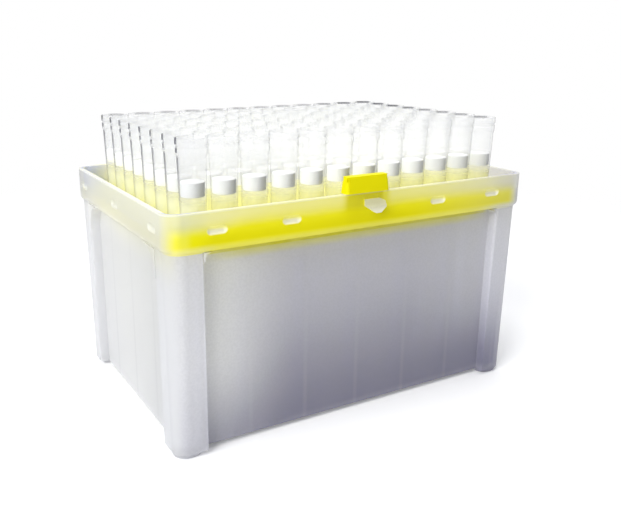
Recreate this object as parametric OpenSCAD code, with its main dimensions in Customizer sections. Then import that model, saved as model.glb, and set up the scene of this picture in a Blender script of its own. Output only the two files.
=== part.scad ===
// Open rack of 96 filter pipette tips: a frosted base box with four corner posts,
// a snap-in tip plate with a thumb tab, twelve columns of eight clear tips, and one
// filter plug in each tip. Millimetres. Z is up, the box stands on z = 0, X runs
// along the long side and the thumb tab is at the front, on the -Y side.

/* [Tip grid] */
// Distance between neighbouring tips, both ways
pitch = 9; // [8.8:0.1:12]
// From the last tip's axis to the outside of the collar, at the short ends
end_margin = 11.4; // [11:0.1:16]
// From the last tip's axis to the outside of the collar, at the long sides
side_margin = 9.3; // [9:0.1:14]

/* [Tip] */
// Overall length of a tip
tip_length = 82; // [66:0.5:100]
// Length of the wide sleeve, from the rim down to the shoulder it hangs by
sleeve_length = 23.9; // [20:0.1:30]
// Radius of the ring at the very top
rim_ring_r = 4.24; // [4.1:0.01:4.3]
// Radius of the second ring
second_ring_r = 4.12; // [4:0.01:4.3]
// Height of each ring
ring_height = 1.8; // [1:0.1:2.4]
// Height of the groove under each ring
groove_height = 0.5; // [0.3:0.1:1]
// Outside radius of the sleeve just under the rings
sleeve_top_r = 3.9; // [3.8:0.01:4]
// Outside radius of the sleeve at its shoulder
sleeve_foot_r = 3.36; // [3.2:0.01:3.6]
// Outside radius of the long cone just under the shoulder
cone_top_r = 2.9; // [2.6:0.01:3]
// Outside radius where the cone turns steeper
cone_bend_r = 1.6; // [1.2:0.05:2]
// Height of that turn above the tip's point
cone_bend_height = 16; // [8:0.5:24]
// Outside radius of the point
point_r = 0.52; // [0.45:0.01:0.8]
// Radius of the bore at the point
point_bore_r = 0.26; // [0.15:0.01:0.3]
// Wall thickness of the sleeve and the cone
tip_wall = 0.38; // [0.3:0.01:0.45]

/* [Filter] */
// From the tip's rim down to the top of its filter
filter_drop = 11.2; // [6:0.1:14]
// Height of the filter plug
filter_height = 3.9; // [2:0.1:8]
// Gap between the filter and the bore around it
filter_gap = 0.02; // [0:0.01:0.1]

/* [Base box] */
// Wall thickness of the base
base_wall = 1.3; // [0.9:0.1:1.8]
// Thickness of the floor
floor_thickness = 1.4; // [1:0.1:2.5]
// Height of the feet under the floor
foot_height = 1.4; // [1:0.1:3]
// Height of the flat pad at the bottom of a foot
pad_height = 0.6; // [0.3:0.1:0.8]
// How far a foot stands in from the outside of its post
foot_inset = 0.15; // [0.05:0.05:0.8]
// How far a foot's sides lean in towards its pad
foot_taper = 0.5; // [0.1:0.1:0.8]
// Gap between the points of the tips and the floor
point_gap = 1; // [0.4:0.1:8]
// Height of the collar around the top
collar_height = 10.7; // [10:0.1:14]
// Wall thickness of the collar
collar_wall = 1.4; // [1:0.1:1.6]
// Outside corner radius of the collar
collar_corner_r = 4.2; // [3.8:0.1:7]
// Radius of the collar's rounded lower edge
collar_edge_r = 2; // [0.6:0.1:2.4]
// How far the posts stand in from the collar, at their top
post_step = 0.6; // [0.3:0.1:1.2]
// Width of a corner post at its top
post_width = 9.9; // [9.2:0.1:12]
// Corner radius of a post
post_corner_r = 4.8; // [3:0.1:5]
// Radius of the other upright edges of a post
post_edge_r = 1; // [0.5:0.1:1.3]
// Draft of the posts' outer faces, in degrees
post_draft = 0.6; // [0:0.1:1.2]
// How far the wall panels stand in from the posts
panel_depth = 3.4; // [2:0.1:4]
// Radius of the arch between a short panel's top and the posts
end_arch_r = 8; // [3:0.5:10]
// Radius of the arch between a long panel's top and the posts
side_arch_r = 2.5; // [1:0.5:8]
// Thickness of the stiffening ribs inside the walls
rib_thickness = 0.9; // [0.6:0.1:1.2]
// How far the ribs stand in from the walls
rib_depth = 5.5; // [2:0.1:6]
// Distance from the collar's lower edge down to the top of the ribs
rib_drop = 1.2; // [0.5:0.1:6]

/* [Snap bumps and catch] */
// Radius of a snap bump
bump_r = 1.3; // [1:0.1:1.6]
// Length of a snap bump
bump_length = 6; // [4:0.1:8]
// How far a snap bump stands into the collar
bump_reach = 0.6; // [0.3:0.1:0.9]
// Gap between a snap bump and the plate under it
bump_gap = 0.35; // [0.1:0.05:0.6]
// Distance of the inner pair of bumps from the middle of a long side
inner_bump_x = 25.2; // [14:0.1:30]
// Distance of the outer pair of bumps from the middle of a long side
outer_bump_x = 47; // [38:0.1:50]
// Distance of the outer bumps from the middle of a short side
end_bump_y = 31; // [14:0.1:31]
// Width of the lid catch
catch_width = 6.8; // [4:0.1:8]
// Height of the lid catch
catch_height = 4; // [3:0.1:5]
// How far the lid catch stands out at its lower edge
catch_reach = 1.7; // [1:0.1:2.5]
// Distance of the catch from the middle of the front
catch_x = 1.3; // [0:0.1:4]
// Distance from the collar's rim down to the top of the catch
catch_drop = 1.8; // [1:0.1:3]
// Distance of a hinge lug from the middle of the back
lug_x = 52; // [40:0.5:54]
// Width of a hinge lug
lug_width = 5; // [4:0.1:7]
// How far a hinge lug stands out from the collar
lug_reach = 3; // [2.6:0.1:4]
// Radius of the pin hole through a hinge lug
lug_bore_r = 0.9; // [0.6:0.05:1]

/* [Tip plate] */
// Height of the collar's rim above the plate
rim_above_plate = 6.5; // [5:0.1:8]
// Thickness of the plate's deck
deck_thickness = 1.5; // [1:0.1:2.2]
// Thickness of the skirt around the deck
skirt_wall = 1.4; // [1:0.1:1.8]
// Gap between the skirt and the collar
plate_gap = 0.15; // [0.1:0.05:0.4]
// Gap between a tip's cone and its hole in the deck
hole_gap = 0.2; // [0.1:0.01:0.3]
// Thickness of the ribs under the deck
deck_rib = 1; // [0.6:0.1:1.4]
// Width of the thumb tab's head, at its foot
tab_width = 14.6; // [12.8:0.1:20]
// Height of the thumb tab's head above the rim
tab_height = 4.7; // [3:0.1:8]
// How far each side of the head leans in towards its top
tab_taper = 0.5; // [0.1:0.1:0.7]
// Thickness of the thumb tab's head, front to back
tab_thickness = 3.6; // [2:0.1:4]
// How far the head reaches forward from the inside of the collar
tab_overhang = 1.7; // [0.5:0.1:2.2]
// Distance of the thumb tab from the middle of the front
tab_x = 0.6; // [0:0.1:3]
// Radius of the head's upper edges
tab_edge_r = 0.9; // [0.4:0.1:1.2]
// Width of the neck under the head
neck_width = 12.7; // [8:0.1:14]
// Thickness of the neck
neck_thickness = 1.7; // [1:0.1:2]
// Radius of the hollows that widen the neck's foot
neck_fillet_r = 2.6; // [1:0.1:4]

/* [Hidden] */
$fn = 48;
columns = 12;
rows = 8;
// Hairs: a rounded corner stands this far out from its flats, a cut goes this far past a face,
// and a head clears the rim under it by this much
corner_proud = 0.02;
past = 1;
touch = 0.05;
// Heights, from the table up
floor_top = foot_height + floor_thickness;
point_z = floor_top + point_gap;
plate_z = point_z + tip_length - sleeve_length;
rim_z = plate_z + rim_above_plate;
tip_rim_z = point_z + tip_length;
collar_z = rim_z - collar_height;
shoulder_z = collar_z + base_wall;
rib_top_z = collar_z - rib_drop;
// Half sizes, from the middle out
collar_x = (columns - 1) * pitch / 2 + end_margin;
collar_y = (rows - 1) * pitch / 2 + side_margin;
post_x = collar_x - post_step;
post_y = collar_y - post_step;
panel_x = post_x - panel_depth;
panel_y = post_y - panel_depth;
plate_x = collar_x - collar_wall - plate_gap;
plate_y = collar_y - collar_wall - plate_gap;
inner_corner_r = collar_corner_r - collar_wall;
plate_corner_r = inner_corner_r - plate_gap;
run_x = post_x - post_width;
run_y = post_y - post_width;
post_height = collar_z + collar_edge_r - foot_height;
draft_inset = post_height * tan(post_draft);
// One rib stands between every second pair of tips
rib_step = 2 * pitch;
rib_reach_x = floor((columns - 2) / 4) * rib_step;
rib_reach_y = floor((rows - 2) / 4) * rib_step;
bump_z = plate_z + bump_gap + bump_r;
// Bore of a tip: a straight taper down to the step above the shoulder
bore_top_r = sleeve_top_r - tip_wall + 0.03;
bore_foot_r = sleeve_foot_r - tip_wall;
bore_step = 1.5;
bore_foot_drop = sleeve_length - bore_step - 0.2;
hole_r = cone_top_r + hole_gap;

function grid_x(i) = (i - (columns + 1) / 2) * pitch;
function grid_y(j) = (j - (rows + 1) / 2) * pitch;
function bore_r(drop) = bore_top_r - (bore_top_r - bore_foot_r) * drop / bore_foot_drop;

module at_corners(x, y) {
    for (sx = [-1, 1], sy = [-1, 1])
        translate([sx * x, sy * y, 0])
            children();
}

module mirror_copy(axis) {
    children();
    mirror(axis)
        children();
}

module rounded_rectangle(half_x, half_y, r) {
    square([2 * half_x, 2 * (half_y - r)], center = true);
    square([2 * (half_x - r), 2 * half_y], center = true);
    at_corners(half_x - r, half_y - r)
        circle(r);
}

// Half of a slab's section, with its lower outer edge rounded
module slab_section(reach, height, edge_r) {
    square([reach - edge_r, height]);
    translate([0, edge_r])
        square([reach, height - edge_r]);
    translate([reach - edge_r, edge_r])
        circle(edge_r);
}

// Rounded rectangular slab whose lower edge is rounded all the way round
module soft_slab(half_x, half_y, corner_r, height, edge_r) {
    at_corners(half_x - corner_r, half_y - corner_r)
        rotate_extrude()
            slab_section(corner_r, height, edge_r);
    rotate([90, 0, 90])
        linear_extrude(2 * (half_x - corner_r), center = true)
            mirror_copy([1, 0])
                slab_section(half_y, height, edge_r);
    rotate([90, 0, 0])
        linear_extrude(2 * (half_y - corner_r), center = true)
            mirror_copy([1, 0])
                slab_section(half_x, height, edge_r);
}

// Section of a slab that is narrower at its foot, for the block below
module drafted_section(half, height, inset) {
    polygon([[-half + inset, 0], [half - inset, 0], [half, height], [-half, height]]);
}

// Rounded rectangular block whose outer faces and corners lean in towards its foot
module drafted_block(half_x, half_y, corner_r, height, inset) {
    rotate([90, 0, 0])
        linear_extrude(2 * (half_y - corner_r), center = true)
            drafted_section(half_x, height, inset);
    rotate([90, 0, 90])
        linear_extrude(2 * (half_x - corner_r), center = true)
            drafted_section(half_y, height, inset);
    at_corners(half_x - corner_r, half_y - corner_r)
        cylinder(h = height, r1 = corner_r + corner_proud - inset, r2 = corner_r + corner_proud);
}

// Plan of one corner post: its two free upright edges are rounded, its outer corner is left square
module post_plan() {
    flat = post_width - post_edge_r;
    translate([run_x, run_y])
        square(flat);
    translate([run_x + post_edge_r, run_y + post_edge_r])
        square(flat);
    translate([run_x + post_edge_r, post_y - post_edge_r])
        circle(post_edge_r);
    translate([post_x - post_edge_r, run_y + post_edge_r])
        circle(post_edge_r);
}

// Plan of the body: recessed wall panels between four corner posts
module body_plan() {
    square([2 * panel_x, 2 * panel_y], center = true);
    mirror_copy([1, 0, 0])
        mirror_copy([0, 1, 0])
            post_plan();
}

// Plan of the space inside the walls and the posts
module cavity_plan() {
    square([2 * (panel_x - base_wall), 2 * (panel_y - base_wall)], center = true);
    at_corners(post_x - post_width / 2, post_y - post_width / 2)
        square(post_width - 2 * base_wall, center = true);
}

// Web that fills the corner between two faces with a hollow curve
module corner_web(r, depth) {
    linear_extrude(depth)
        difference() {
            square(r);
            translate([r, 0])
                circle(r);
        }
}

module arches() {
    mirror_copy([1, 0, 0])
        mirror_copy([0, 1, 0]) {
            translate([-run_x, -panel_y, collar_z - side_arch_r])
                rotate([90, 0, 0])
                    corner_web(side_arch_r, panel_depth);
            translate([-post_x, -run_y, collar_z - end_arch_r])
                rotate([90, 0, 90])
                    corner_web(end_arch_r, panel_depth);
        }
}

module body_shell() {
    intersection() {
        translate([0, 0, foot_height])
            drafted_block(post_x, post_y, post_corner_r, post_height, draft_inset);
        union() {
            translate([0, 0, foot_height])
                linear_extrude(post_height)
                    body_plan();
            arches();
        }
    }
    translate([0, 0, collar_z])
        soft_slab(collar_x, collar_y, collar_corner_r, collar_height, collar_edge_r);
    at_corners(post_x - (post_width + draft_inset) / 2, post_y - (post_width + draft_inset) / 2)
        foot();
}

// Foot of a post: it is nearly round, leans in all round and ends in a flat pad
module foot() {
    half = (post_width - draft_inset) / 2 - foot_inset;
    corner_r = post_corner_r - draft_inset - foot_inset;
    pad_inset = foot_taper + corner_proud + touch;
    translate([0, 0, pad_height])
        drafted_block(half, half, corner_r, foot_height - pad_height, foot_taper);
    drafted_block(half - pad_inset, half - pad_inset, corner_r - pad_inset, pad_height + touch, touch);
}

module cavity() {
    pocket_height = shoulder_z + past - floor_top;
    translate([0, 0, floor_top])
        intersection() {
            drafted_block(post_x - base_wall, post_y - base_wall, post_corner_r - base_wall,
                pocket_height, pocket_height * tan(post_draft));
            linear_extrude(pocket_height)
                cavity_plan();
        }
    translate([0, 0, shoulder_z])
        linear_extrude(collar_height)
            rounded_rectangle(collar_x - collar_wall, collar_y - collar_wall, inner_corner_r);
}

module ribs() {
    rib_height = rib_top_z - floor_top + touch;
    for (x = [-rib_reach_x:rib_step:rib_reach_x])
        mirror_copy([0, 1, 0])
            translate([x - rib_thickness / 2, panel_y - base_wall - rib_depth, floor_top - touch])
                cube([rib_thickness, rib_depth + base_wall / 2, rib_height]);
    for (y = [-rib_reach_y:rib_step:rib_reach_y])
        mirror_copy([1, 0, 0])
            translate([panel_x - base_wall - rib_depth, y - rib_thickness / 2, floor_top - touch])
                cube([rib_depth + base_wall / 2, rib_thickness, rib_height]);
}

module capsule() {
    straight = bump_length - 2 * bump_r;
    rotate([0, 90, 0])
        cylinder(h = straight, r = bump_r, center = true);
    for (s = [-1, 1])
        translate([s * straight / 2, 0, 0])
            sphere(bump_r);
}

// Puts a child, drawn along X, at each snap bump, its middle at this distance from the collar's outside
module at_bumps(offset) {
    for (x = [inner_bump_x, outer_bump_x])
        mirror_copy([1, 0, 0])
            mirror_copy([0, 1, 0])
                translate([x, collar_y + offset, bump_z])
                    children();
    for (y = [-end_bump_y, 0, end_bump_y])
        mirror_copy([1, 0, 0])
            translate([collar_x + offset, y, bump_z])
                rotate([0, 0, 90])
                    children();
}

// Wedge that the lid's latch rides down over and hooks under
module catch() {
    top = rim_z - catch_drop;
    half = catch_width / 2;
    intersection() {
        translate([catch_x, -collar_y + collar_wall / 2, top])
            rotate([90, 0, 0])
                linear_extrude(collar_wall / 2 + catch_reach)
                    polygon([[-half, 0], [half * 0.5, 0], [half, -catch_height * 0.2],
                        [half, -catch_height * 0.6], [half * 0.5, -catch_height],
                        [0, -catch_height], [-half, -catch_height * 0.45]]);
        translate([0, -collar_y, top])
            rotate([90, 0, 90])
                linear_extrude(2 * (catch_x + catch_width), center = true)
                    polygon([[collar_wall, 0], [-catch_reach * 0.35, 0], [-catch_reach, -catch_height * 0.5],
                        [-catch_reach, -catch_height], [collar_wall, -catch_height]]);
    }
}

module hinge_lugs() {
    height = 2 * (lug_bore_r + base_wall);
    mirror_copy([1, 0, 0])
        translate([lug_x, collar_y, rim_z - height / 2])
            rotate([0, 90, 0])
                linear_extrude(lug_width, center = true)
                    difference() {
                        union() {
                            translate([-height / 2, -collar_wall / 2])
                                square([height, lug_reach - height / 2 + collar_wall / 2]);
                            translate([0, lug_reach - height / 2])
                                circle(height / 2);
                        }
                        translate([0, lug_reach - height / 2])
                            circle(lug_bore_r);
                    }
}

module rack_base() {
    color([0.84, 0.85, 0.88, 0.6])
        difference() {
            union() {
                difference() {
                    body_shell();
                    cavity();
                }
                ribs();
                intersection() {
                    at_bumps(-collar_wall + bump_r - bump_reach)
                        capsule();
                    translate([0, 0, shoulder_z])
                        linear_extrude(collar_height)
                            rounded_rectangle(collar_x - touch, collar_y - touch, collar_corner_r - touch);
                }
                catch();
                hinge_lugs();
            }
            at_bumps(bump_r - bump_reach)
                capsule();
        }
}

module deck_plan() {
    difference() {
        rounded_rectangle(plate_x, plate_y, plate_corner_r);
        for (i = [1:columns], j = [1:rows])
            translate([grid_x(i), grid_y(j)])
                circle(hole_r);
    }
}

module deck_ribs() {
    depth = plate_z - deck_thickness - shoulder_z;
    for (x = [-rib_reach_x:rib_step:rib_reach_x])
        translate([x - deck_rib / 2, -plate_y + skirt_wall / 2, shoulder_z])
            cube([deck_rib, 2 * plate_y - skirt_wall, depth + touch]);
    for (y = [-rib_reach_y:rib_step:rib_reach_y])
        translate([-plate_x + skirt_wall / 2, y - deck_rib / 2, shoulder_z])
            cube([2 * plate_x - skirt_wall, deck_rib, depth + touch]);
}

// Head of the thumb tab, drawn with its top down: the sides lean in and the top edges are rounded
module tab_head() {
    half_x = tab_width / 2;
    half_y = tab_thickness / 2;
    corner_r = tab_edge_r + touch;
    hair = 2 * touch;
    intersection() {
        drafted_block(half_x, half_y, corner_r, tab_height, tab_taper);
        soft_slab(half_x + hair, half_y + hair, corner_r + hair, tab_height, tab_edge_r);
    }
}

module thumb_tab() {
    front_y = -collar_y + collar_wall - tab_overhang;
    translate([-tab_x, 0, 0]) {
        translate([-neck_width / 2, -plate_y, plate_z - deck_thickness])
            cube([neck_width, neck_thickness, rim_z - plate_z + deck_thickness + 2 * touch]);
        mirror_copy([1, 0, 0])
            translate([neck_width / 2, -plate_y, plate_z + neck_fillet_r])
                rotate([-90, 0, 0])
                    corner_web(neck_fillet_r, neck_thickness);
        translate([0, front_y + tab_thickness / 2, rim_z + touch + tab_height])
            rotate([180, 0, 0])
                tab_head();
    }
}

module tip_plate() {
    color([0.93, 0.9, 0.02])
        union() {
            translate([0, 0, plate_z - deck_thickness])
                linear_extrude(deck_thickness)
                    deck_plan();
            translate([0, 0, shoulder_z])
                linear_extrude(plate_z - shoulder_z)
                    difference() {
                        rounded_rectangle(plate_x, plate_y, plate_corner_r);
                        rounded_rectangle(plate_x - skirt_wall, plate_y - skirt_wall,
                            plate_corner_r - skirt_wall);
                    }
            deck_ribs();
            thumb_tab();
        }
}

// Wall of a tip, from the axis out, with z = 0 at its shoulder
module tip_section() {
    rim = sleeve_length;
    second = rim - ring_height - groove_height;
    sleeve = second - ring_height - groove_height;
    point = sleeve_length - tip_length;
    bend = point + cone_bend_height;
    groove_r = sleeve_top_r;
    step_z = rim - bore_foot_drop;
    polygon([
        [bore_top_r, rim],
        [rim_ring_r, rim],
        [rim_ring_r, rim - ring_height],
        [groove_r, rim - ring_height],
        [groove_r, second],
        [second_ring_r, second],
        [second_ring_r, second - ring_height],
        [sleeve_top_r, sleeve],
        [sleeve_foot_r, 0],
        [cone_top_r, 0],
        [cone_bend_r, bend],
        [point_r, point],
        [point_bore_r, point],
        [cone_bend_r - tip_wall, bend],
        [cone_top_r - tip_wall, step_z - bore_step],
        [bore_foot_r, step_z]
    ]);
}

module tips_column(i) {
    color([0.93, 0.95, 0.97, 0.35])
        for (j = [1:rows])
            translate([grid_x(i), grid_y(j), plate_z])
                rotate_extrude()
                    tip_section();
}

module filters_column(i) {
    top_r = bore_r(filter_drop) - filter_gap;
    foot_r = bore_r(filter_drop + filter_height) - filter_gap;
    color([0.97, 0.97, 0.97])
        for (j = [1:rows])
            translate([grid_x(i), grid_y(j), tip_rim_z - filter_drop - filter_height])
                cylinder(h = filter_height, r1 = foot_r, r2 = top_r);
}

rack_base();
tip_plate();
tips_column(1);  // tips_column_01
tips_column(2);  // tips_column_02
tips_column(3);  // tips_column_03
tips_column(4);  // tips_column_04
tips_column(5);  // tips_column_05
tips_column(6);  // tips_column_06
tips_column(7);  // tips_column_07
tips_column(8);  // tips_column_08
tips_column(9);  // tips_column_09
tips_column(10);  // tips_column_10
tips_column(11);  // tips_column_11
tips_column(12);  // tips_column_12
filters_column(1);  // filters_column_01
filters_column(2);  // filters_column_02
filters_column(3);  // filters_column_03
filters_column(4);  // filters_column_04
filters_column(5);  // filters_column_05
filters_column(6);  // filters_column_06
filters_column(7);  // filters_column_07
filters_column(8);  // filters_column_08
filters_column(9);  // filters_column_09
filters_column(10);  // filters_column_10
filters_column(11);  // filters_column_11
filters_column(12);  // filters_column_12
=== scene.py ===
# %% [markdown]
# # A box of pipette tips
# A deep frosted box carries a yellow plate, and ninety-six clear tips hang in the plate's
# holes, each with a white filter plug inside. Four plastics make the whole look, and three
# of them let light through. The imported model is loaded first, as a frame that stays where it
# is, and its boxes say where everything below goes.

# %% Load the frame
import math
import bmesh
import bpy
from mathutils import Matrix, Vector


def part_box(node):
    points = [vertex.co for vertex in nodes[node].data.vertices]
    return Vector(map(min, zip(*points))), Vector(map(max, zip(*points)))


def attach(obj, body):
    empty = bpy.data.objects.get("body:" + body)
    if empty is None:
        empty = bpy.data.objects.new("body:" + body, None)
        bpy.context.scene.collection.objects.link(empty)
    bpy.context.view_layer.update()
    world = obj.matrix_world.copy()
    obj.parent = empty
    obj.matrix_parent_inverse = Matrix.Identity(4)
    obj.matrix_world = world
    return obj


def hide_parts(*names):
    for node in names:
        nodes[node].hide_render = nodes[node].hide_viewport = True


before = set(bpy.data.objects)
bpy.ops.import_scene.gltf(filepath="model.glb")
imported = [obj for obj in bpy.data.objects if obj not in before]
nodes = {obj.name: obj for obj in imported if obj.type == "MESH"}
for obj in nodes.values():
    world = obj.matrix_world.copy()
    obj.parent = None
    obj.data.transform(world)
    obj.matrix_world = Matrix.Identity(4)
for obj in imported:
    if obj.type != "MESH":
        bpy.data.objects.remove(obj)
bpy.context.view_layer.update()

columns = sorted(name for name in nodes if name.startswith("tips_column_"))
plugs = sorted(name for name in nodes if name.startswith("filters_column_"))

# %% [markdown]
# ## Where things are
# The boxes of a few nodes give all the heights and the grid. The first and the last tip of a
# column are one radius in from the ends of its box, and the rest lie evenly between them.

# %% Read the sizes
MM = 0.001
ROWS = 8
base_low, base_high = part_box("rack_base")
plate_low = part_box("tip_plate")[0]
tip_low, tip_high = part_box(columns[0])
plug_low, plug_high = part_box(plugs[0])
rim_radius = (tip_high.x - tip_low.x) / 2
first_row = tip_low.y + rim_radius
pitch = (tip_high.y - tip_low.y - 2 * rim_radius) / (ROWS - 1)
column_x = {name: sum(v.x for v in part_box(name)) / 2 for name in columns}
row_y = [first_row + pitch * row for row in range(ROWS)]
FIRST_COLUMN_X, LAST_COLUMN_X = min(column_x.values()), max(column_x.values())
BACK_ROW_Y = max(row_y)
print("pitch", round(pitch / MM, 3), "mm; rim radius", round(rim_radius / MM, 3), "mm")

# %% [markdown]
# ## Camera
# The box is looked at from its left front corner and from a little above, with the long side
# turned to the right. The lens is a normal one, and its axis passes a little to the left of
# the middle of the frame.

# %% Set the camera
PICTURE_WIDTH, PICTURE_HEIGHT = 621, 517
FOCAL = 730.3
SENSOR = 36.0
VIEW_FROM = Vector((-121.23, -202.43, 110.17)) * MM
VIEW_TURN = math.radians(29.163)
VIEW_DROP = math.radians(16.159)
OPTICAL_X, OPTICAL_Y = 272.96, 248.0
NEAREST = 0.01

lens = bpy.data.cameras.new("camera")
lens.sensor_width = SENSOR
lens.lens = FOCAL / PICTURE_WIDTH * SENSOR
lens.shift_x = (PICTURE_WIDTH / 2 - OPTICAL_X) / PICTURE_WIDTH
lens.shift_y = (OPTICAL_Y - PICTURE_HEIGHT / 2) / PICTURE_WIDTH
lens.clip_start = NEAREST
camera = bpy.data.objects.new("camera", lens)
bpy.context.scene.collection.objects.link(camera)
camera.location = VIEW_FROM
facing = Vector((math.sin(VIEW_TURN) * math.cos(VIEW_DROP),
                 math.cos(VIEW_TURN) * math.cos(VIEW_DROP), -math.sin(VIEW_DROP)))
camera.rotation_euler = facing.to_track_quat("-Z", "Y").to_euler()
bpy.context.scene.camera = camera
print("lens", round(lens.lens, 2), "mm")

# %% [markdown]
# ## Room
# Clear and frosted plastic looks like whatever is around it, so the surroundings matter more
# than the lamps. The room is white where it is seen straight on. For everything that only
# reflects it, it is dimmer and a little blue, which keeps the plastic from washing out.

# %% Room light
SEEN_COLOUR, SEEN_STRENGTH = (1.0, 1.0, 1.0, 1.0), 1.0
FELT_COLOUR, FELT_STRENGTH = (0.86, 0.89, 1.0, 1.0), 0.3

world = bpy.data.worlds.new("room")
bpy.context.scene.world = world
world.use_nodes = True
room = world.node_tree
room.nodes.clear()


def background(colour, strength):
    """An even light of one colour from all round."""
    light = room.nodes.new("ShaderNodeBackground")
    light.inputs["Color"].default_value = colour
    light.inputs["Strength"].default_value = strength
    return light.outputs[0]


path = room.nodes.new("ShaderNodeLightPath")
either = room.nodes.new("ShaderNodeMixShader")
sky = room.nodes.new("ShaderNodeOutputWorld")
room.links.new(path.outputs["Is Camera Ray"], either.inputs["Fac"])
room.links.new(background(FELT_COLOUR, FELT_STRENGTH), either.inputs[1])
room.links.new(background(SEEN_COLOUR, SEEN_STRENGTH), either.inputs[2])
room.links.new(either.outputs[0], sky.inputs["Surface"])
print("room", len(room.nodes), "nodes")

# %% [markdown]
# ## Lamps
# Three soft lamps. A window on the left makes the short wall bright and leaves the long wall
# in half shade, a wide lamp overhead lights the tips, and a small glow by the front left post
# brightens the corner that is nearest to the camera.

# %% Lamps
MIDDLE = (0.0, 0.0, 0.05)
NEAR_CORNER = (-0.06, -0.04, 0.04)
LAMPS = (("left_window", (-0.55, -0.26, 0.42), MIDDLE, 0.4, 4.4),
         ("overhead", (0.0, 0.1, 0.9), MIDDLE, 0.9, 8.0),
         ("corner_glow", (-0.20, -0.32, 0.12), NEAR_CORNER, 0.12, 0.06))


def lamp(name, place, target, width, power):
    """A soft square lamp at a place, turned to its target."""
    light = bpy.data.lights.new(name, "AREA")
    light.shape = "RECTANGLE"
    light.size = light.size_y = width
    light.energy = power
    body = bpy.data.objects.new(name, light)
    bpy.context.scene.collection.objects.link(body)
    body.location = place
    body.rotation_euler = (Vector(target) - Vector(place)).to_track_quat("-Z", "Y").to_euler()
    body.visible_camera = False


for settings in LAMPS:
    lamp(*settings)

# %% [markdown]
# ## A small kit for shader nodes
# A finish is a handful of nodes. Wrapping each node's output in a small class lets the maths
# read as maths: adding, taking away or multiplying two strands adds the Math node that does
# it.

# %% Strands


class Strand:
    """What comes out of a node. Maths on it adds a Math node to the same finish."""

    def __init__(self, finish, socket):
        self.finish = finish
        self.socket = socket

    def maths(self, operation, first, second):
        """A Math node between two strands or numbers."""
        return self.finish.node("ShaderNodeMath", {"operation": operation}, {0: first, 1: second})

    def __add__(self, other):
        return self.maths("ADD", self, other)

    def __radd__(self, other):
        return self.maths("ADD", other, self)

    def __sub__(self, other):
        return self.maths("SUBTRACT", self, other)

    def __rsub__(self, other):
        return self.maths("SUBTRACT", other, self)

    def __mul__(self, other):
        return self.maths("MULTIPLY", self, other)

    def __rmul__(self, other):
        return self.maths("MULTIPLY", other, self)

    def __pow__(self, other):
        return self.maths("POWER", self, other)

    def __abs__(self):
        return self.maths("ABSOLUTE", self, 0.0)


# %% [markdown]
# Every other node comes from one method, which sets the node's own settings first and then
# fills or links its sockets. The methods after it name the few kinds that the finishes need.
# Their work is mostly ramps: a ramp turns a place on the piece into a share from 0 to 1.

# %% Finishes


class Finish:
    """The material of one plastic, built node by node."""

    def __init__(self, name):
        self.material = bpy.data.materials.new(name)
        self.material.use_nodes = True
        self.tree = self.material.node_tree
        self.tree.nodes.clear()

    def node(self, kind, settings, sockets, out=0):
        """Adds a node, gives it its settings, then fills its sockets, and returns one output."""
        made = self.tree.nodes.new(kind)
        for key, value in settings.items():
            setattr(made, key, value)
        for key, value in sockets.items():
            socket = made.inputs[key]
            if isinstance(value, Strand):
                self.tree.links.new(value.socket, socket)
            else:
                socket.default_value = value
        return Strand(self, made.outputs[out])

    def spot(self):
        """Where a point of the piece is, in metres."""
        return self.node("ShaderNodeTexCoord", {}, {}, "Object")

    def part(self, vector, axis):
        """One part of a vector: 0 is X, 1 is Y and 2 is Z."""
        return self.node("ShaderNodeSeparateXYZ", {}, {0: vector}, axis)

    def parts(self, vector):
        """All three parts of a vector."""
        return [self.part(vector, axis) for axis in range(3)]

    def turned(self, axis):
        """How far the surface is turned to one axis of the piece, from -1 to 1."""
        return self.part(self.node("ShaderNodeTexCoord", {}, {}, "Normal"), axis)

    def ramp(self, value, low, high, start=0.0, end=1.0):
        """Goes smoothly from start to end while value goes from low to high."""
        return self.node("ShaderNodeMapRange", {"interpolation_type": "SMOOTHSTEP"},
                         {0: value, 1: low, 2: high, 3: start, 4: end})

    def fall(self, value, low, high):
        """Goes smoothly from 1 to 0 while value goes from low to high."""
        return self.ramp(value, low, high, 1.0, 0.0)

    def from_middle(self, value):
        """How far along one axis a point is from the nearest tip's middle."""
        wrapped = self.node("ShaderNodeMath", {"operation": "WRAP"}, {0: value, 1: pitch, 2: 0.0})
        return wrapped - pitch / 2

    def noise(self, spot, per_metre, detail=2.0):
        """A cloudy pattern from 0 to 1, with this many swells to the metre."""
        return self.node("ShaderNodeTexNoise", {},
                         {"Vector": spot, "Scale": per_metre, "Detail": detail})

    def blend(self, share, first, second):
        """A colour between two, by share."""
        return self.node("ShaderNodeMix", {"data_type": "RGBA"}, {0: share, 6: first, 7: second}, 2)

    def extreme(self, operation, values):
        """The greatest or the least of several values, two at a time."""
        best = values[0]
        for value in values[1:]:
            best = self.node("ShaderNodeMath", {"operation": operation}, {0: best, 1: value})
        return best

    def most(self, values):
        """The greatest of several values."""
        return self.extreme("MAXIMUM", values)

    def least(self, values):
        """The least of several values."""
        return self.extreme("MINIMUM", values)

    def bump(self, height, depth, strength):
        """Relief from a height between 0 and 1."""
        return self.node("ShaderNodeBump", {},
                         {"Height": height, "Distance": depth, "Strength": strength})

    def mixed(self, share, first, second):
        """One shader showing through another: share 0 is all first, share 1 all second."""
        return self.node("ShaderNodeMixShader", {}, {0: share, 1: first, 2: second})

    def finish(self, surface):
        """Ends the material with a surface and returns it."""
        end = self.tree.nodes.new("ShaderNodeOutputMaterial")
        self.tree.links.new(surface.socket, end.inputs["Surface"])
        print(self.material.name, "has", len(self.tree.nodes), "nodes")
        return self.material


def rgb(red, green, blue):
    """An opaque colour."""
    return (red, green, blue, 1.0)


CLEAR = rgb(1.0, 1.0, 1.0)
PLASTIC_IOR = 1.49

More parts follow.
